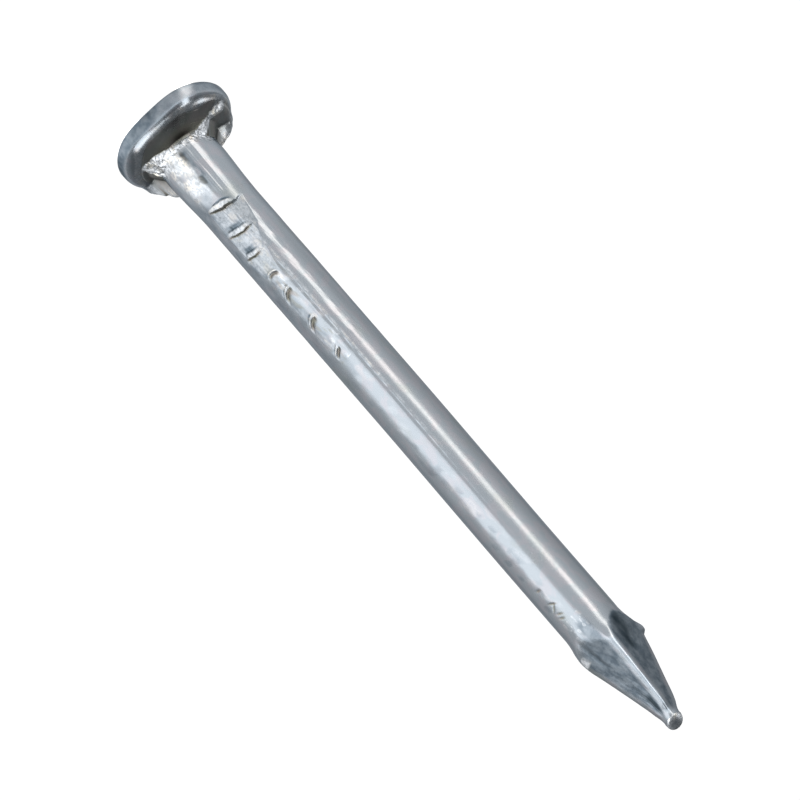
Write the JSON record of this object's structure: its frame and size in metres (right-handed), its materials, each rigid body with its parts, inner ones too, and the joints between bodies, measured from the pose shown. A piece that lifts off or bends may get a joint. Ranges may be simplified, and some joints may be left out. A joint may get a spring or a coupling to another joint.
{
  "type": "nail",
  "caption": "Round wire nail with a flat rimmed head, webs under the head, grip marks on the upper shank and a four-sided diamond point.",
  "frame": {"origin": "where the axis of the wire meets the flat struck face of the head", "axes": "+Z along the axis of the wire from the head to the point, -Y towards the front, with the head upset slightly towards -X"},
  "size_m": [0.006, 0.006, 0.0394],
  "materials": {
    "zinc_plate": "bright zinc electroplate over drawn steel wire"
  },
  "bodies": {
    "root": {"head": "zinc_plate", "neck": "zinc_plate", "gripped_shank": "zinc_plate", "shank": "zinc_plate", "point": "zinc_plate"}
  },
  "joints": []
}
